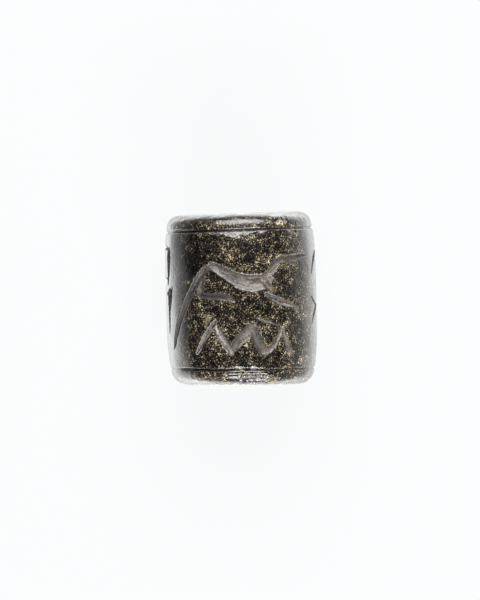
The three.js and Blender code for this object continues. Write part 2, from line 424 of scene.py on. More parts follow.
def beast() -> list[Cut]:
    """The long-tailed beast on the face that is up."""
    return [
        Cut(
            ((-22, 3.95, 0.5, 0.12), (-27.5, 3.6, 0.8, 0.3), (-33.5, 2.6, 0.9, 0.42),
             (-40.5, 1.15, 0.92, 0.46), (-49, -0.85, 0.98, 0.48), (-57.5, -3.2, 0.95, 0.44),
             (-62.5, -4.85, 0.7, 0.3), (-65.5, -5.8, 0.15, 0.06)),
            skew=0.55,
            wall=2.8,
            slope=1.8,
        ),
        Cut(
            ((-25, 4.0, 0.3, 0.1), (-20, 3.9, 0.85, 0.32), (-15, 3.45, 0.95, 0.42),
             (-10, 3.05, 1.1, 0.46), (-4, 2.5, 1.4, 0.5), (2, 2.1, 1.7, 0.56), (8, 1.92, 1.85, 0.58),
             (14, 2.0, 1.7, 0.54), (19.5, 2.2, 1.25, 0.42), (23, 2.3, 0.5, 0.15)),
            skew=-0.8,
            wall=2.0,
            slope=1.5,
            earth=0.35,
            pale_and_highlight=0.4,
            striation=2.6,
            rim_wear_and_highlight=1.5,
        ),
        Cut(((16, 2.4, 0.8, 0.4), (20, 1.75, 0.9, 0.42), (23.5, 1.1, 0.5, 0.2),
             (25, 0.85, 0.2, 0.06)), earth=0.8),
        Cut(
            ((16, 2.4, 0.8, 0.42), (21, 2.85, 0.8, 0.42), (25, 3.45, 0.75, 0.4), (28.5, 4.1, 0.7, 0.34),
             (32, 4.55, 0.6, 0.28)),
            skew=-0.45,
            earth=0.6,
            pale_and_highlight=0.65,
            rim_wear_and_highlight=0.5,
        ),
        Cut(
            ((29, 4.45, 0.45, 0.2), (33, 4.62, 0.65, 0.28), (40, 4.62, 0.65, 0.28), (50, 4.72, 0.58, 0.24),
             (57, 4.9, 0.35, 0.14), (60, 5.0, 0.12, 0.05)),
            skew=-0.2,
            wall=2.6,
            earth=0.6,
            pale_and_highlight=0.15,
            rim_wear_and_highlight=1.2,
            shade_and_dirt_fill=0.5,
        ),
        Cut(
            ((18.5, 0.7, 0.25, 0.1), (21, 0.45, 0.5, 0.24), (25, 0.05, 0.7, 0.3), (31, -0.28, 0.8, 0.3),
             (37, -0.5, 0.6, 0.26), (43, -0.75, 0.45, 0.2), (46.5, -1.1, 0.5, 0.2), (48.5, -1.4, 0.55, 0.2)),
            skew=-0.3,
            earth=0.6,
            pale_and_highlight=0.8,
            rim_wear_and_highlight=0.5,
        ),
        Cut(
            ((-37.5, 1.5, 0.2, 0.08), (-35, 2.1, 0.4, 0.2), (-31.5, 2.45, 0.5, 0.24), (-29, 2.3, 0.5, 0.2)),
            earth=0.2,
        ),
        Cut(
            ((-30, 2.4, 0.5, 0.22), (-31.5, 1.7, 0.75, 0.32), (-32, 1.0, 0.8, 0.34),
            (-32.5, 0.5, 0.6, 0.26)),
            skew=0.2,
        ),
        Cut(
            ((-33.5, 0.7, 0.5, 0.22), (-29, 0.55, 0.65, 0.28), (-22, 0.5, 0.75, 0.3), (-15, 0.48, 0.75, 0.3),
             (-10, 0.32, 0.65, 0.26), (-7, 0.1, 0.4, 0.16), (-5, -0.1, 0.15, 0.05)),
            skew=0.2,
            slope=1.8,
            shade_and_dirt_fill=0.8,
        ),
        Cut(((-10, 0.25, 0.35, 0.12), (-7.5, 0.05, 0.4, 0.18),
             (-5.5, -0.15, 0.25, 0.08)), skew=-0.5, pale_and_highlight=1.5),
    ]


def zigzag() -> list[Cut]:
    """The straight strokes of the zigzag under the beast."""
    return [
        Cut(((-37.5, -6.15, 0.4, 0.14), (-33, -5.1, 0.58, 0.28), (-27.5, -3.95, 0.64, 0.34),
             (-22, -2.9, 0.66, 0.34),
             (-19.5, -2.35, 0.35, 0.14)), skew=-0.3, wall=3.0, earth=0.3, pale_and_highlight=2.2),
        Cut(((-19.0, -3.1, 0.5, 0.16), (-17, -3.95, 0.85, 0.34), (-13.3, -4.95, 0.9, 0.4),
             (-9.5, -5.9, 0.8, 0.3),
             (-8.3, -6.15, 0.6, 0.2)), skew=-0.4, pale_and_highlight=0.95, rim_wear_and_highlight=0.3),
        Cut(((-9.5, -6.05, 0.6, 0.2), (-4, -5.0, 1.1, 0.42), (1, -4.25, 1.25, 0.46), (6, -3.5, 1.15, 0.42),
             (8.5, -3.0, 0.8, 0.24)), skew=-0.2, wall=3.0, pale_and_highlight=0.4, earth=0.15),
        Cut(((7.5, -3.1, 0.8, 0.24), (10.5, -4.1, 1.1, 0.42), (13.5, -5.2, 1.05, 0.42),
             (16.5, -5.95, 0.85, 0.34),
             (17.5, -6.2, 0.6, 0.2)), skew=0.2, wall=3.0, slope=2.0, rim_wear_and_highlight=0.3, shade_and_dirt_fill=0.35),
        Cut(((15.5, -6.2, 0.4, 0.2), (19, -6.0, 0.6, 0.3), (24, -5.4, 0.62, 0.3), (28, -4.6, 0.58, 0.28),
             (31.5, -3.3, 0.4, 0.14)), skew=-0.35, earth=0.8, pale_and_highlight=0.7, rim_wear_and_highlight=0.3),
        Cut(((32.5, -3.4, 0.25, 0.06), (34.5, -4.4, 0.5, 0.14), (38, -5.5, 0.5, 0.16),
             (43, -6.6, 0.25, 0.06)),
            earth=0.4, pale_and_highlight=0.4, rim_wear_and_highlight=0.5),
    ]


def goat() -> list[Cut]:
    """The horned goat on the -X side, of which the front view shows only the breast and a foreleg."""
    return [
        Cut(((-68.5, 5.7, 0.15, 0.06), (-72, 6.0, 0.4, 0.28), (-77, 6.2, 0.5, 0.3), (-83, 6.2, 0.2, 0.08))),
        Cut(((-71, 5.95, 0.8, 0.4), (-71.3, 5.2, 1.1, 0.65), (-71.8, 4.2, 0.95, 0.65),
             (-72.8, 3.0, 0.6, 0.46),
             (-74.5, 1.9, 0.25, 0.16)), skew=0.3, rim_wear_and_highlight=0.0, shade_and_dirt_fill=0.7),
        Cut(((-77, 6.3, 0.3, 0.15), (-88, 6.45, 0.55, 0.3), (-100, 6.0, 0.55, 0.3), (-107, 5.1, 0.4, 0.2),
             (-110, 4.3, 0.15, 0.06)), skew=-0.2),
        Cut(((-78, 2.6, 0.4, 0.2), (-85, 2.2, 1.1, 0.44), (-96, 2.0, 1.5, 0.5), (-108, 1.9, 1.5, 0.5),
             (-118, 2.1, 1.1, 0.4), (-124, 2.4, 0.4, 0.16)), skew=-0.3, wall=2.6, striation=1.3),
        Cut(((-70.5, 0.85, 1.35, 0.5), (-70.7, 0.2, 1.35, 0.7), (-71.8, -0.9, 0.8, 0.6),
             (-72.8, -2.3, 0.5, 0.4),
             (-73.3, -3.9, 0.2, 0.12)), wall=2.6, rim_wear_and_highlight=0.0, shade_and_dirt_fill=0.7),
        Cut(((-77, 0.8, 0.5, 0.2), (-72, 0.7, 0.5, 0.3), (-67, 0.9, 0.3, 0.16),
             (-65.5, 1.6, 0.2, 0.08)), rim_wear_and_highlight=0.0),
        Cut(((-118, 2.1, 0.9, 0.36), (-123, 0.9, 0.9, 0.38), (-121, -0.6, 0.7, 0.32),
             (-118, -1.8, 0.55, 0.26),
             (-122, -3.2, 0.4, 0.18), (-125, -3.8, 0.15, 0.05)), earth=0.3),
        Cut(((-122, 2.6, 0.4, 0.24), (-129, 2.4, 0.5, 0.26), (-132.5, 1.2, 0.4, 0.18),
             (-133, 0.4, 0.15, 0.05))),
        Cut(((-92, -4.2, 0.2, 0.08), (-98, -5.2, 0.6, 0.26), (-104, -6.2, 0.25, 0.08)), skew=0.2),
        Cut(((-104, -6.1, 0.3, 0.1), (-110, -5.1, 0.6, 0.26), (-116, -4.4, 0.25, 0.08)), skew=-0.2),
    ]


@dataclass(frozen=True)
class Plant:
    """The plant on the +X side: a stem, arching pairs of leaves and two roots.

    Attributes:
        angle: Where the stem stands.
        foot: Height of the stem's foot.
        tip: Height of its tip.
    """

    angle: float = 104.0
    foot: float = -5.6
    tip: float = 6.9

    def cuts(self) -> list[Cut]:
        """The plant's cuts, stem first."""
        middle = (self.foot + self.tip) / 2
        made = [
            Cut(
                (
                    (self.angle + 1, self.foot, 0.3, 0.14),
                    (self.angle, middle - 2, 0.75, 0.36),
                    (self.angle - 1, middle + 2, 0.7, 0.34),
                    (self.angle, self.tip, 0.2, 0.06),
                ),
                earth=0.3,
            )
        ]
        for height, reach, droop, width in ((5.9, 35, 3.1, 0.6), (2.8, 19, 1.6, 0.5), (-0.3, 36, 2.6, 0.6),
                                            (-5.0, 9, 1.3, 0.5)):
            for side in (-1, 1):
                made.append(self._leaf(height, side * reach, droop, width))
        return made

    def _leaf(self, height: float, reach: float, droop: float, width: float) -> Cut:
        """One arching leaf that leaves the stem at a height."""
        return Cut(
            (
                (self.angle, height, width / 2, 0.24),
                (self.angle + reach * 0.45, height - droop * 0.1, width, 0.3),
                (self.angle + reach * 0.8, height - droop * 0.45, width, 0.28),
                (self.angle + reach, height - droop, width / 4, 0.06),
            ),
            skew=math.copysign(0.2, reach),
            earth=0.15,
        )


def scratches() -> list[Cut]:
    """Slips of the graver and later scratches."""
    return [
        Cut(((-26, -1.6, 0.1, 0.03), (-27.5, -2.4, 0.35, 0.1), (-28.5, -3.3, 0.15, 0.04)), earth=0.8),
        Cut(((-23, -1.9, 0.1, 0.03), (-25.5, -2.3, 0.25, 0.08), (-27.5, -2.6, 0.15, 0.04)), earth=0.8),
        Cut(((11, -2.1, 0.1, 0.02), (18, -2.5, 0.25, 0.07), (29, -3.0, 0.1, 0.02)), earth=0.3),
        Cut(((44, 0.0, 0.12, 0.03), (52, -0.25, 0.2, 0.06), (60, -0.5, 0.1, 0.02))),
        Cut(((66, 0.2, 0.15, 0.04), (72, -0.35, 0.4, 0.12), (79, -1.0, 0.3, 0.08))),
        Cut(((57, 4.2, 0.12, 0.03), (60, 3.7, 0.22, 0.07), (63, 3.2, 0.1, 0.03)), earth=0.5),
        Cut(((-150, 3.5, 0.1, 0.02), (-146, 2.4, 0.25, 0.06), (-141, 1.0, 0.1, 0.02))),
        Cut(((146, -2.0, 0.1, 0.02), (152, -2.8, 0.25, 0.06), (157, -4.1, 0.1, 0.02))),
    ]


class End(Enum):
    """Which end of the seal something is near, as the sign of its height."""

    TOP = 1
    BASE = -1


@dataclass(frozen=True)
class RuledLine:
    """A line ruled round the seal, its lip towards the picture worn down to a slope.

    Attributes:
        end: The end it is ruled near.
        height: Where it is deepest.
        depth: How deep it is.
        half: Half its width.
        lip: Width of the lip's slope at its narrowest.
        worn_lip: Extra width where it is most worn.
        lip_depth: How much the lip has lost beside the line, where it is most worn.
        fading: Share of its depth that it loses beside the picture.
        patchy: How far it is worn away in the middle of the picture.
    """

    end: End
    height: float
    depth: float = 0.34
    half: float = 0.2
    lip: float = 0.28
    worn_lip: float = 0.4
    lip_depth: float = 0.2
    fading: float = 0.35
    patchy: float = 0.0

    def cut(self, angle: Array, height: Array, waver: Array, ragged: Array, surface: CutSurface) -> None:
        """Rules the line into the surface.

        Args:
            angle: Each point's angle in degrees.
            height: Each point's height, its lean taken out.
            waver: How far the line strays at each point.
            ragged: How unevenly its lip is worn, about -1 to 1.
            surface: What has been done to the surface, which is changed.
        """
        outwards = (height - self.height - waver) * self.end.value
        wear = hump(-3.0, 26.0, angle)
        shallow = hump(40.0, 36.0, angle)
        beside = smooth_step(48.0, 72.0, np.abs(angle))
        kept = 1.0 - self.fading * beside * (1.0 - 0.6 * smooth_step(90.0, 120.0, np.abs(angle)))
        gaps = self.patchy * hump(4.0, 30.0, angle) * np.clip(0.5 + 1.2 * ragged, 0.0, 1.0)
        half = self.half * (1.0 - 0.45 * shallow) * (1.0 - 0.4 * gaps)
        line = 1.0 - np.clip(np.abs(outwards) / half, 0.0, 1.0) ** 1.5
        reach = (self.lip + self.worn_lip * wear) * np.clip(1.0 + 0.75 * ragged, 0.25, 1.8)
        slope = np.clip(1.0 + outwards / reach, 0.0, 1.0)
        slope *= np.clip(1.0 - outwards / half, 0.0, 1.0)
        deep = self.depth * (1.0 - 0.3 * shallow) * (1.0 - 0.7 * gaps) * line
        taken = np.maximum(deep, self.lip_depth * (0.3 + 0.7 * wear) * slope**0.8) * kept
        surface.depth = np.maximum(surface.depth, taken)
        # Painted shade in the line's groove, partly also dirt: less where the line is shallow, beside the
        # picture or broken.
        line_shade_and_dirt = (1.0 - 0.5 * shallow) * (1.0 - 0.75 * beside) * (1.0 - 0.7 * gaps)
        surface.shade_and_dirt = np.maximum(surface.shade_and_dirt, smooth_step(0.25, 0.7, line) * line_shade_and_dirt)
        surface.earth = np.maximum(surface.earth, 0.8 * shallow * line)
        # The lip's slope is painted pale, partly as its wear and partly as a painted highlight where it faces
        # the light.
        worn = (0.3 + 0.35 * np.maximum(wear, 0.7 * shallow)) * (1.0 + 0.6 * ragged) * (1.0 - 0.7 * beside)
        surface.pale_and_highlight = np.maximum(surface.pale_and_highlight, worn * smooth_step(0.0, 0.3, slope) * (line < 0.2))


@dataclass(frozen=True)
class Chip:
    """A flake lost from the surface.

    Attributes:
        angle: Its middle's angle, in degrees.
        height: Its middle's height.
        width: Its size round the seal.
        tall: Its size along the seal.
        depth: How much stone it took.
    """

    angle: float
    height: float
    width: float
    tall: float
    depth: float

    def at(self, angle: Array, height: Array, places: Array, degree: float) -> Array:
        """Depth of the flake's scar at points of the surface."""
        across = (angle - self.angle + 180.0) % 360.0 - 180.0
        ragged = 1.0 + 0.6 * Unevenness(0.42, 31, 2).at(places)
        out = np.hypot(across * degree / (self.width / 2), (height - self.height) / (self.tall / 2)) * ragged
        return self.depth * smooth_step(1.0, 0.45, out)


CHIPS = tuple(Chip(*row) for row in (
    (90, -5.75, 1.3, 1.0, 0.3),
    (47, 7.7, 1.2, 0.5, 0.08),
    (30, 8.95, 1.8, 0.7, 0.1),
    (8, -9.2, 4.5, 0.7, 0.1),
    (-14, -8.75, 0.9, 0.5, 0.08),
    (125, 8.9, 2.4, 1.0, 0.22),
    (158, -8.9, 2.0, 0.9, 0.2),
    (-118, -9.0, 2.6, 1.0, 0.22),
    (-150, 8.7, 1.6, 0.9, 0.16),
    (140, -1.0, 0.9, 0.7, 0.1),
    (-160, -4.8, 1.0, 0.7, 0.1),
))


@dataclass(frozen=True)
class SpeckCluster:
    """A place where the stone's pale specks crowd together.

    Attributes:
        angle: Its middle's angle, in degrees.
        height: Its middle's height.
        width: Its size round the seal.
        tall: Its size along the seal.
        crowding: How close they stand, less than 0 where they are few.
    """

    angle: float
    height: float
    width: float
    tall: float
    crowding: float = 1.0

    def at(self, angle: Array, height: Array, places: Array, degree: float) -> Array:
        """How crowded the specks are at points of the surface."""
        across = (angle - self.angle + 180.0) % 360.0 - 180.0
        ragged = 1.0 + 0.3 * Unevenness(0.4, 32, 2).at(places)
        out = np.hypot(across * degree / (self.width / 2), (height - self.height) / (self.tall / 2)) * ragged
        return self.crowding * smooth_step(1.25, 0.55, out)


# The clusters on the ends' shoulders with crowding below 0 clear the pale specks where the highlights and
# glare on the ends and the shade at the top end's corners fall: painted highlight and painted shade, not the
# stone's pattern.
CLUSTERS = tuple(SpeckCluster(*row) for row in (
    (34.3, 8.8, 2.1, 0.65, 1.3),
    (45.9, 8.3, 1.0, 0.35, 0.8),
    (-8.8, 6.7, 0.3, 0.8),
    (19.7, 7.05, 0.45, 0.35),
    (50.4, 7.36, 0.75, 0.4),
    (-15.9, -9.1, 0.65, 0.4, 1.2),
    (-13.4, -8.65, 0.5, 0.4),
    (48.5, -9.1, 0.9, 0.5, 1.2),
    (27.5, -9.35, 0.8, 0.4),
    (52.6, -7.1, 0.95, 0.6),
    (40.2, -6.1, 0.95, 0.6),
    (38.3, -3.9, 0.9, 0.9, 0.8),
    (15.0, -2.25, 0.8, 0.35),
    (-25.6, -1.95, 0.65, 0.95),
    (-43.6, 2.25, 0.4, 0.9, 0.8),
    (-44.5, 6.2, 0.5, 0.85, 0.8),
    (-2.4, -7.9, 0.7, 0.3),
    (-15.8, 9.1, 1.0, 0.5, 0.8),
    (18.0, 4.6, 3.0, 1.6, 0.35),
    (-42.0, 5.0, 4.0, 7.0, -0.68),
    (-27.0, 5.2, 2.4, 2.2, -0.3),
    (-58.0, 0.0, 4.6, 20.0, -0.6),
    (-30.0, 9.7, 7.0, 0.9, -0.75),
    (10.0, 9.85, 20.0, 0.7, -0.6),
    (66.0, 6.5, 5.0, 8.0, -0.52),
    (55.0, 9.0, 5.0, 1.2, -0.6),
    (2.0, 9.15, 5.4, 0.5, -0.68),
    (4.0, -9.15, 5.4, 0.5, -0.45),
    (42.0, 1.0, 4.0, 12.0, -0.1),
    (0.0, -7.1, 14.0, 1.4, -0.3),
    (28.0, -6.4, 1.6, 1.4, -0.38),
    (5.0, -6.2, 1.6, 1.4, -0.22),
    (10.5, 0.85, 0.6, 0.35, 1.3),
    (-13.8, -8.75, 0.35, 0.35, 1.3),
))


BASE_LINE = RuledLine(
    End.BASE, -8.14, half=0.18, lip=0.2, worn_lip=0.14, lip_depth=0.15, fading=0.6, patchy=0.6
)


# --- The finished seal ---


@dataclass
class Seal:
    """The engraved seal, as one closed mesh.

    Attributes:
        stone: The turned stone.
        centre: The middle of its axis in the frame, in millimetres.
        columns: How many columns of vertices go round it before it is thinned.
        most_triangles: What it is thinned to.
        lines: The ruled lines.
        straying: How far the ruled lines waver.
        waviness: Depth of the stone's slow waves.
        bruising: Depth of the bruises round the ends.
        pitting: Depth of the small pits.
        grit: Depth of the finest roughness.
        engraving: The picture's cuts.
    """

    stone: TurnedStone
    centre: Array
    columns: int = 720
    most_triangles: int = 196_000
    lines: tuple[RuledLine, ...] = (RuledLine(End.TOP, 8.12), BASE_LINE)
    straying: float = 0.05
    waviness: float = 0.035
    bruising: float = 0.07
    pitting: float = 0.08
    grit: float = 0.006
    engraving: Engraving = field(init=False)

    def __post_init__(self) -> None:
        """Lays the picture out on the barrel."""
        cuts = [*beast(), *zigzag(), *goat(), *Plant().cuts(), *scratches()]
        self.engraving = Engraving(tuple(cuts), math.radians(self.stone.belly_radius))

    def build(self) -> bpy.types.Object:
        """Makes the seal's mesh, with its wear and its finish's masks, at its place in the frame."""
        coarse = self._mesh_of(*self._shaped())
        seal = bpy.data.objects.new("engraved_seal", coarse)
        bpy.context.scene.collection.objects.link(seal)
        self._thin(seal)
        self._mask(seal.data)
        self._unroll(seal.data)
        return seal

    def _shaped(self) -> tuple[Array, Array]:
        """The seal's vertices in millimetres, and its four-sided faces."""
        line, normals = self.stone.outline()
        rings = len(line)
        turn = np.linspace(-math.pi, math.pi, self.columns, endpoint=False)
        angle = np.tile(turn, rings)
        radius, height = (np.repeat(line[:, i], self.columns) for i in range(2))
        out, up = (np.repeat(normals[:, i], self.columns) for i in range(2))
        taken = self._taken(np.degrees(angle), radius, height)
        radius, height = radius - out * taken, height - up * taken
        points = np.column_stack([radius * np.sin(angle), height, radius * np.cos(angle)])
        ring, column = np.divmod(np.arange(rings * self.columns), self.columns)
        beside = (column + 1) % self.columns
        above = (ring + 1) % rings
        faces = np.column_stack(
            [
                ring * self.columns + column,
                ring * self.columns + beside,
                above * self.columns + beside,
                above * self.columns + column,
            ]
        )
        return self.stone.worn(points), faces

    def _surface(self, angle: Array, height: Array) -> CutSurface:
        """What the engraving has done at points of the barrel."""
        turn = np.radians(angle)
        radius = self.stone.belly_radius
        places = np.column_stack([radius * np.sin(turn), height, radius * np.cos(turn)])
        surface = self.engraving.at(angle, height, places)
        waver = self.straying * Unevenness(3.0, 41, 3).at(places)
        ragged = Unevenness(0.6, 42, 3).at(places)
        for ruled in self.lines:
            ruled.cut(angle, height, waver, ragged, surface)
        second = hump(-8.64, 0.13, height + waver) * hump(3.0, 22.0, angle)
        surface.depth = np.maximum(surface.depth, 0.12 * second)
        # The second line's groove gets the same painted shade and dirt as the ruled lines.
        surface.shade_and_dirt = np.maximum(surface.shade_and_dirt, 0.8 * smooth_step(0.4, 0.8, second))
        return surface

    def _taken(self, angle: Array, radius: Array, height: Array) -> Array:
        """Millimetres of stone that cuts, chips and wear have taken from each vertex."""
        turn = np.radians(angle)
        places = np.column_stack([radius * np.sin(turn), height, radius * np.cos(turn)])
        outside = smooth_step(self.stone.bore_mouth + 0.3, self.stone.bore_mouth + 1.3, radius)
        taken = np.zeros(len(angle))
        outer = radius > BARREL_SHARE * self.stone.belly_radius
        barrel = np.flatnonzero(outer & (np.abs(height) < 0.97 * self.stone.end))
        taken[barrel] = self._surface(angle[barrel], height[barrel]).depth
        for chip in CHIPS:
            taken[barrel] = np.maximum(
                taken[barrel], chip.at(angle[barrel], height[barrel], places[barrel], self.engraving.degree)
            )
        waves = self.waviness * Unevenness(2.6, 51, 2).at(places)
        near_end = smooth_step(7.9, 9.2, np.abs(height)) * outside
        bruises = self.bruising * np.clip(Unevenness(0.9, 52, 3).at(places) - 0.25, 0.0, 1.0) * near_end
        pits = self.pitting * np.clip(Unevenness(0.26, 53).at(places) - 0.6, 0.0, 1.0) * (0.4 + 0.6 * outside)
        grit = self.grit * Unevenness(0.16, 54).at(places)
        return taken + waves + bruises + pits + grit

    def _mesh_of(self, points: Array, faces: Array) -> bpy.types.Mesh:
        """A mesh in metres at the seal's place in the frame."""
        mesh = bpy.data.meshes.new("engraved_seal")
        mesh.from_pydata(((points + self.centre) * MM).tolist(), [], faces.tolist())
        mesh.validate()
        return mesh

    def _thin(self, seal: bpy.types.Object) -> None:
        """Takes away the vertices that the shape needs least."""
        modifier = seal.modifiers.new("thin", "DECIMATE")
        modifier.ratio = self.most_triangles / (2 * len(seal.data.polygons))
        modifier.use_collapse_triangulate = True
        graph = bpy.context.evaluated_depsgraph_get()
        thinned = bpy.data.meshes.new_from_object(seal.evaluated_get(graph), depsgraph=graph)
        seal.modifiers.clear()
        coarse, seal.data = seal.data, thinned
        bpy.data.meshes.remove(coarse)
        thinned.name = "engraved_seal"
        thinned.polygons.foreach_set("use_smooth", np.ones(len(thinned.polygons), bool))

    def _places(self, mesh: bpy.types.Mesh) -> Array:
        """The mesh's vertices in millimetres from the middle of the seal."""
        flat = np.empty(3 * len(mesh.vertices))
        mesh.vertices.foreach_get("co", flat)
        return flat.reshape(-1, 3) / MM - self.centre

    def _mask(self, mesh: bpy.types.Mesh) -> None:
        """Marks the cut, earthy, worn and speckled places for the finish, and where shade and highlights are
        painted.
        """
        places = self._places(mesh)
        angle = np.degrees(np.arctan2(places[:, 0], places[:, 2]))
        radius = np.hypot(places[:, 0], places[:, 2])
        height = places[:, 1] - self.stone.lean(places[:, 1]) * places[:, 0]
        surface = self._surface(angle, height)
        barrel = radius > BARREL_SHARE * self.stone.belly_radius
        edges = smooth_step(7.6, 8.6, np.abs(height)) * barrel
        # Painted highlight on the shoulders where the softboxes' highlights fall, partly also scuffs.
        scuffs_and_highlight = hump(3.0, 34.0, angle) * hump(8.98, np.where(height > 0, 0.55, 0.3), np.abs(height))
        masks = {
            "cut_floor": surface.floor * barrel,
            "earth": surface.earth * barrel,
            "pale_and_highlight": np.maximum(surface.pale_and_highlight, 0.6 * scuffs_and_highlight) * barrel,
            "streak": surface.streak * barrel,
            "shade_and_dirt": surface.shade_and_dirt * barrel,
            "crowding": self._crowding(angle, height, places) + 0.15 * edges,
            "end_wear": smooth_step(9.3, 9.9, np.abs(height)) * barrel,
        }
        for name, value in masks.items():
            layer = mesh.attributes.new(name, "FLOAT", "POINT")
            layer.data.foreach_set("value", value.astype(np.float32))

    def _crowding(self, angle: Array, height: Array, places: Array) -> Array:
        """How much closer than usual the stone's specks stand at each point."""
        total = np.zeros(len(angle))
        for cluster in CLUSTERS:
            total += cluster.at(angle, height, places, self.engraving.degree)
        return total

    def _unroll(self, mesh: bpy.types.Mesh) -> None:
        """Gives the mesh a map that unrolls the barrel, the ends and the cord hole into one sheet."""
        line, _ = self.stone.outline()
        closed = np.vstack([line, line[:1]])
        run = np.concatenate([[0.0], np.cumsum(np.linalg.norm(np.diff(closed, axis=0), axis=1))])
        places = self._places(mesh)
        radius = np.hypot(places[:, 0], places[:, 2])
        nearest = np.empty(len(places), int)
        for start in range(0, len(places), 4096):
            part = slice(start, start + 4096)
            gap = (radius[part, None] - line[:, 0]) ** 2 + (places[part, 1, None] - line[:, 1]) ** 2
            nearest[part] = gap.argmin(axis=1)
        turn = np.arctan2(places[:, 0], places[:, 2]) / (2 * math.pi)
        corners = np.empty(len(mesh.loops), int)
        mesh.loops.foreach_get("vertex_index", corners)
        corners = corners.reshape(-1, 3)
        around = turn[corners]
        around += (around.max(axis=1, keepdims=True) - around) > 0.5
        along = (run[nearest] / run[-1])[corners]
        along += (along.max(axis=1, keepdims=True) - along) > 0.5
        sheet = np.stack([(around + 0.52) / 1.04, (along + 0.02) / 1.04], axis=2)
        layer = mesh.uv_layers.new(name="OFBake")
        layer.uv.foreach_set("vector", sheet.astype(np.float32).ravel())


# --- Shader expressions ---


class Wire:
    """A shader socket that can be written in sums, as if it were a number or a vector."""

    def __init__(self, shader: Shader, socket: bpy.types.NodeSocket | None) -> None:
        """Wraps an output socket of a shader's node."""
        self.shader = shader
        self.socket = socket

    def _sum(self, operation: str, first: Any, second: Any) -> Wire:
        """Adds a Math node."""
        return self.shader.node("ShaderNodeMath", {"operation": operation}, {0: first, 1: second})

    def __add__(self, other: Wire | float) -> Wire:
        """self + other."""
        return self._sum("ADD", self, other)

    def __sub__(self, other: Wire | float) -> Wire:
        """self - other."""
        return self._sum("SUBTRACT", self, other)

    def __rsub__(self, other: float) -> Wire:
        """other - self."""
        return self._sum("SUBTRACT", other, self)

    def __mul__(self, other: Wire | float) -> Wire:
        """self * other."""
        return self._sum("MULTIPLY", self, other)

    def __truediv__(self, other: Wire | float) -> Wire:
        """self / other."""
        return self._sum("DIVIDE", self, other)

    def __pow__(self, other: Wire | float) -> Wire:
        """self to the power of other."""
        return self._sum("POWER", self, other)

    def most(self, other: Wire | float) -> Wire:
        """The larger of two values."""
        return self._sum("MAXIMUM", self, other)

    def size(self) -> Wire:
        """The value without its sign."""
        return self._sum("ABSOLUTE", self, 0.0)

    def ramp(self, low: float, high: float) -> Wire:
        """Eases from 0 where this is low to 1 where it is high."""
        settings = {"interpolation_type": "SMOOTHSTEP"}
        return self.shader.node("ShaderNodeMapRange", settings, {0: self, 1: low, 2: high, 3: 0.0, 4: 1.0})


class Shader:
    """The nodes of one material or world."""

    def __init__(self, tree: bpy.types.NodeTree) -> None:
        """Starts an empty tree."""
        self.tree = tree
        tree.nodes.clear()

    def node(
        self,
        kind: str,
        settings: Mapping[str, Any] | None = None,
        inputs: Mapping[str | int, Any] | None = None,
        output: str | int = 0,
    ) -> Wire:
        """Adds one node.

        Args:
            kind: The node's type.
            settings: Its own settings, by name. A colour ramp's "stops" are its [place, colour] pairs.
            inputs: Values or wires for its sockets, by name or number.
            output: The output wanted, by name or number.

        Returns:
            The wanted output, or a loose end on a node that has none.
        """
        made = self.tree.nodes.new(kind)
        for name, value in (settings or {}).items():
            if name == "stops":
                self._set_stops(made.color_ramp, value)
            else:
                setattr(made, name, value)
        for name, value in (inputs or {}).items():
            if isinstance(value, Wire):
                self.tree.links.new(value.socket, made.inputs[name])
            else:
                made.inputs[name].default_value = value
        return Wire(self, made.outputs[output] if len(made.outputs) else None)

    @staticmethod
    def _set_stops(ramp: bpy.types.ColorRamp, stops: Iterable[tuple[float, Colour]]) -> None:
        """Gives a colour ramp its stops."""
        (place, colour), *others = stops
        ramp.elements.remove(ramp.elements[1])
        ramp.elements[0].position = place
        ramp.elements[0].color = colour
        for place, colour in others:
            ramp.elements.new(place).color = colour

    def mix(self, share: Wire | float, first: Any, second: Any) -> Wire:
        """A colour between two colours."""
        return self.node("ShaderNodeMix", {"data_type": "RGBA"}, {0: share, 6: first, 7: second}, 2)

    def noise(self, place: Wire, scale: float, detail: float = 2.0, roughness: float = 0.5) -> Wire:
        """Cloudy noise, about 0 to 1."""
        values = {"Vector": place, "Scale": scale, "Detail": detail, "Roughness": roughness}
        return self.node("ShaderNodeTexNoise", None, values)

    def flakes(self, place: Wire, scale: float) -> Wire:
        """Small flat-sided grains, each with its own value from 0 to 1."""
        return self.node("ShaderNodeTexVoronoi", None, {"Vector": place, "Scale": scale}, "Color")

    def mask(self, name: str) -> Wire:
        """A mask that the mesh carries."""
        return self.node("ShaderNodeAttribute", {"attribute_name": name}, output="Fac")


def paint(red: float, green: float, blue: float) -> Colour:
    """A colour given as display values from 0 to 255, as linear light."""
    values = (channel / 255 for channel in (red, green, blue))
    light = (v / 12.92 if v <= 0.04045 else ((v + 0.055) / 1.055) ** 2.4 for v in values)
    return (*light, 1.0)


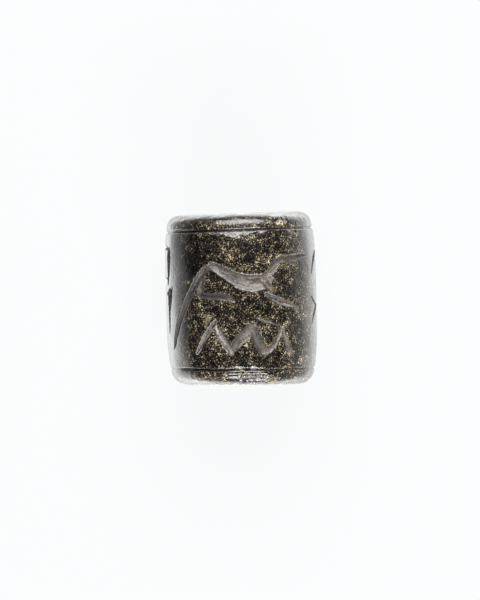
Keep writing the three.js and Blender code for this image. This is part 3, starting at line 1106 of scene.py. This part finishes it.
@dataclass(frozen=True)
class SpeckledStone:
    """Black-brown stone, densely speckled, polished outside and duller where it is cut, with shade and
    highlights painted into its colour.

    Attributes:
        tones: The stone from its darkest ground to its brightest specks, as [place, colour] pairs.
        rusty: The specks stained by earth.
        cut_dark: The deepest scratches of cut stone.
        cut_stone: Cut stone.
        rubbed_and_highlit: Pale colour of rubbed cut or worn stone, also painted as a highlight.
        soil: Orange-brown earth in the cuts.
        shade_and_dirt_fill: The near-black colour of the painted shade and dirt.
        polish: Roughness of the handled surface.
        dullness: Roughness of cut stone.
    """

    tones: tuple[tuple[float, Colour], ...] = (
        (0.385, paint(2, 2, 2)),
        (0.45, paint(9, 8, 7)),
        (0.505, paint(19, 16, 14)),
        (0.55, paint(36, 31, 27)),
        (0.60, paint(66, 60, 49)),
        (0.65, paint(116, 107, 86)),
        (0.71, paint(178, 168, 138)),
    )
    rusty: Colour = paint(120, 96, 62)
    cut_dark: Colour = paint(28, 24, 22)
    cut_stone: Colour = paint(77, 69, 64)
    rubbed_and_highlit: Colour = paint(130, 123, 118)
    soil: Colour = paint(98, 77, 52)
    shade_and_dirt_fill: Colour = paint(10, 8, 6)
    polish: float = 0.21
    dullness: float = 0.46

    def make(self) -> bpy.types.Material:
        """Builds the material."""
        material = bpy.data.materials.new("speckled_dark_stone")
        material.use_nodes = True
        shader = Shader(material.node_tree)
        place = shader.node(
            "ShaderNodeVectorMath",
            {"operation": "SCALE"},
            {0: shader.node("ShaderNodeTexCoord", output="Object"), "Scale": 1 / MM},
        )
        cut, earth, crowding = (shader.mask(name) for name in ("cut_floor", "earth", "crowding"))
        pale_and_highlight, streak, shade_and_dirt, worn = (shader.mask(name) for name in ("pale_and_highlight", "streak", "shade_and_dirt", "end_wear"))
        clouds = shader.noise(place, 0.42, 3.0, 0.6)
        patches = shader.noise(place, 1.2, 2.0, 0.5)
        grains = shader.noise(place, 5.6, 2.0, 0.72)
        flakes = shader.flakes(place, 8.0)
        mixture = grains * 0.5 + flakes * 0.21 + shader.flakes(place, 13.0) * 0.24 + 0.025
        tint = shader.noise(place, 2.2, 1.0)
        tone = mixture + (patches - 0.5) * 0.26 + (clouds - 0.5) * 0.2 + crowding * 0.095
        colour = shader.node("ShaderNodeValToRGB", {"stops": self.tones}, {0: tone})
        colour = shader.mix(tint.ramp(0.55, 0.68) * tone.ramp(0.54, 0.62) * 0.7, colour, self.rusty)
        scratched = streak * 0.8 + (grains - 0.5) * 2.2 + (flakes - 0.5) * 0.8 + 0.5
        bare = shader.mix(scratched.ramp(0.0, 0.75), self.cut_dark, self.cut_stone)
        colour = shader.mix(cut * 0.8, colour, bare)
        # Painted highlight and rubbed stone, pale where that mask is.
        colour = shader.mix(pale_and_highlight * scratched.ramp(0.2, 0.9), colour, self.rubbed_and_highlit)
        stain = (earth * 1.3 * (grains + (tint - 0.5) * 1.1).ramp(0.44, 0.62)).ramp(0.1, 0.9)
        colour = shader.mix(stain * 0.8, colour, self.soil)
        # Painted shade and dirt: near-black where that mask is.
        colour = shader.mix(shade_and_dirt * 0.9, colour, self.shade_and_dirt_fill)
        dulled = (cut * 1.5).most(pale_and_highlight).most(worn)
        dull = dulled * (self.dullness - self.polish) + (clouds - 0.5) * 0.12 + shade_and_dirt * 0.3 + self.polish
        relief = {"Strength": 0.35, "Distance": 0.015 * MM, "Height": grains}
        bump = shader.node("ShaderNodeBump", None, relief)
        skin = shader.node(
            "ShaderNodeBsdfPrincipled",
            None,
            {"Base Color": colour, "Roughness": dull, "Normal": bump, "IOR": 1.52},
        )
        shader.node("ShaderNodeOutputMaterial", None, {"Surface": skin})
        return material


# --- The studio ---


@dataclass(frozen=True)
class Softbox:
    """A soft light aimed at the seal.

    Attributes:
        name: What it is called.
        towards: Where it stands, as a direction from the seal.
        wide: Its level side, in metres.
        tall: Its other side, in metres.
        radiance: How bright its face is.
        distance: How far off it is, in metres.
    """

    name: str
    towards: tuple[float, float, float]
    wide: float
    tall: float
    radiance: float
    distance: float = 0.3

    def hang(self, target: Vector) -> bpy.types.Object:
        """Puts the light up, facing the target."""
        light = bpy.data.lights.new(self.name, "AREA")
        light.shape = "RECTANGLE"
        light.size = self.wide
        light.size_y = self.tall
        light.energy = self.radiance * math.pi * self.wide * self.tall
        lamp = bpy.data.objects.new(self.name, light)
        bpy.context.scene.collection.objects.link(lamp)
        direction = Vector(self.towards).normalized()
        lamp.location = target + direction * self.distance
        lamp.rotation_euler = direction.to_track_quat("Z", "Y").to_euler()
        lamp.visible_camera = False
        return lamp


@dataclass(frozen=True)
class LightTable:
    """The pale sheet that the seal lies on, unevenly lit from below round the seal and dimmed next to it as a
    painted shadow.

    Attributes:
        side: Side of the sheet, in metres.
        seen: How bright the sheet looks from anywhere.
        beside: How bright it shines right beside the seal, dimmed as a painted shadow of the seal.
        across: How bright it shines from -X to +X, as [millimetres, brightness] pairs.
        slant: How far that pattern leans, in millimetres across for each along.
        lamp: How much brighter it is beyond the ends.
        corner: How much dimmer it is beyond the top end on the -X side.
        footprint: Half the seal's width and length, in metres.
        rise: Distance over which that painted shadow fades into the rest.
        far_edge: Where the lit part starts and stops fading along Y.
    """

    side: float = 4.0
    seen: float = 0.905
    beside: float = 0.93
    across: tuple[tuple[float, float], ...] = (
        (-74, 0.9), (-71, 1.2), (-45, 1.6), (-32, 2.3), (-21, 3.9),
        (0, 3.4), (14, 2.7), (24, 2.3), (34, 2.0), (76, 0.9),
    )
    slant: float = 0.8
    lamp: float = 1.6
    corner: float = 0.55
    footprint: tuple[float, float] = (0.0088, 0.01)
    rise: float = 0.009
    far_edge: tuple[float, float] = (0.06, 0.09)

    def lay(self) -> None:
        """Lays the sheet down."""
        half = self.side / 2
        mesh = bpy.data.meshes.new("floor")
        corners = [(-half, -half, 0), (half, -half, 0), (half, half, 0), (-half, half, 0)]
        mesh.from_pydata(corners, [], [(0, 1, 2, 3)])
        floor = bpy.data.objects.new("floor", mesh)
        bpy.context.scene.collection.objects.link(floor)
        mesh.materials.append(self._sheet())

    def _sheet(self) -> bpy.types.Material:
        """The lit sheet's material."""
        material = bpy.data.materials.new("lit_pale_sheet")
        material.use_nodes = True
        shader = Shader(material.node_tree)
        place = shader.node("ShaderNodeTexCoord", output="Object")
        across, along = (shader.node("ShaderNodeSeparateXYZ", None, {0: place}, axis) for axis in "XY")
        glow = self._pattern(shader, across - along * self.slant)
        glow = glow * (along.size().ramp(0.012, 0.03) * across.size().ramp(0.03, 0.01) * self.lamp + 1.0)
        glow = glow * (1.0 - along.ramp(0.0, 0.016) * across.ramp(-0.008, -0.03) * self.corner)
        outside = [(way.size() - half).most(0.0) for way, half in zip((across, along), self.footprint)]
        away = (outside[0] * outside[0] + outside[1] * outside[1]) ** 0.5
        # Painted shadow: the glow is dimmed next to the seal's footprint, as the seal's shade on the sheet.
        shine = away.ramp(0.0, self.rise) * (glow - self.beside) + self.beside
        lit = along.size().ramp(*reversed(self.far_edge))
        seen = shader.node("ShaderNodeLightPath", output="Is Camera Ray")
        beyond = self.across[0][1]
        strength = ((shine - beyond) * lit + beyond) * (1.0 - seen) + seen * self.seen
        skin = shader.node(
            "ShaderNodeBsdfPrincipled",
            None,
            {"Base Color": (0.03, 0.03, 0.03, 1), "Roughness": 0.9, "Specular IOR Level": 0.0,
             "Emission Color": (0.98, 0.993, 1.0, 1), "Emission Strength": strength},
        )
        shader.node("ShaderNodeOutputMaterial", None, {"Surface": skin})
        return material

    def _pattern(self, shader: Shader, across: Wire) -> Wire:
        """How bright the sheet shines at a place across it, in metres."""
        first, last = self.across[0][0], self.across[-1][0]
        span = last - first
        stops = [((place - first) / span, (light, light, light, 1.0)) for place, light in self.across]
        share = (across / MM - first) / span
        return shader.node("ShaderNodeValToRGB", {"stops": stops}, {0: share})


@dataclass(frozen=True)
class Studio:
    """The soft light and the camera that looks down on the seal.

    Attributes:
        target: The middle of the seal, in metres.
        table: What the seal lies on.
        boxes: The softboxes.
        overhead: How bright the room is above.
        veil: How bright a pale wall low on the +X side is.
        backdrop: How bright the room looks to the camera.
        camera_distance: How far above the seal the camera is.
        view_height: What the picture's height spans at the seal.
        roll: How far the seal leans in the picture, in degrees.
        pitch: How far towards the top end the camera stands, in degrees.
    """

    target: Vector
    table: LightTable = LightTable()
    boxes: tuple[Softbox, ...] = (
        Softbox("top_softbox", (0.07, 0.707, 0.704), 0.3, 0.2, 13.0),
        Softbox("base_softbox", (0.08, -0.785, 0.619), 0.26, 0.06, 40.0),
    )
    overhead: float = 0.06
    veil: float = 0.5
    backdrop: float = 0.97
    camera_distance: float = 0.6
    view_height: float = 0.07038
    roll: float = 1.5
    pitch: float = 1.0

    def build(self) -> None:
        """Sets everything up."""
        self.table.lay()
        self._world()
        for box in self.boxes:
            box.hang(self.target)
        self._camera()
        bpy.context.scene.view_settings.view_transform = "Standard"

    def _world(self) -> None:
        """Fills the room with dim light, and a pale wall low on one side."""
        world = bpy.data.worlds.new("studio")
        bpy.context.scene.world = world
        world.use_nodes = True
        shader = Shader(world.node_tree)
        direction = shader.node("ShaderNodeTexCoord", output="Generated")
        across, up = (shader.node("ShaderNodeSeparateXYZ", None, {0: direction}, axis) for axis in "XZ")
        wall = across.ramp(0.4, 0.9) * up.ramp(0.4, 0.1)
        seen = shader.node("ShaderNodeLightPath", output="Is Camera Ray")
        strength = (wall * self.veil + self.overhead) * (1.0 - seen) + seen * self.backdrop
        sky = shader.node("ShaderNodeBackground", None, {"Color": (1, 1, 1, 1), "Strength": strength})
        shader.node("ShaderNodeOutputWorld", None, {"Surface": sky})

    def _camera(self) -> None:
        """Sets the camera above the seal, a long lens far off."""
        camera = bpy.data.cameras.new("camera")
        camera.lens = camera.sensor_width * self.camera_distance / self.view_height
        camera.clip_start = 0.01
        camera.clip_end = 20
        holder = bpy.data.objects.new("camera", camera)
        bpy.context.scene.collection.objects.link(holder)
        aim = self.target + Vector((-0.15, -0.15, 0.0)) * MM
        tilt = Matrix.Rotation(-math.radians(self.pitch), 4, "X")
        roll = Matrix.Rotation(-math.radians(self.roll), 4, "Z")
        holder.matrix_world = (
            Matrix.Translation(aim) @ roll @ tilt @ Matrix.Translation((0, 0, self.camera_distance))
        )
        bpy.context.scene.camera = holder


def main() -> None:
    """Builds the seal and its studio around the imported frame."""
    logging.basicConfig(level=logging.INFO, format="%(name)s: %(message)s")
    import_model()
    low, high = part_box(NODE)
    radius = (high.x - low.x) / 2
    centre = np.array([(low.x + high.x) / 2, (low.y + high.y) / 2, high.z - radius]) / MM
    seal = Seal(TurnedStone(belly_radius=radius / MM), centre)
    engraved = seal.build()
    engraved.data.materials.append(SpeckledStone().make())
    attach(engraved, "root")
    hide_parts(NODE)
    LOG.info("%s: %d triangles", engraved.name, len(engraved.data.polygons))
    Studio(Vector(centre) * MM).build()


if __name__ == "__main__":
    main()
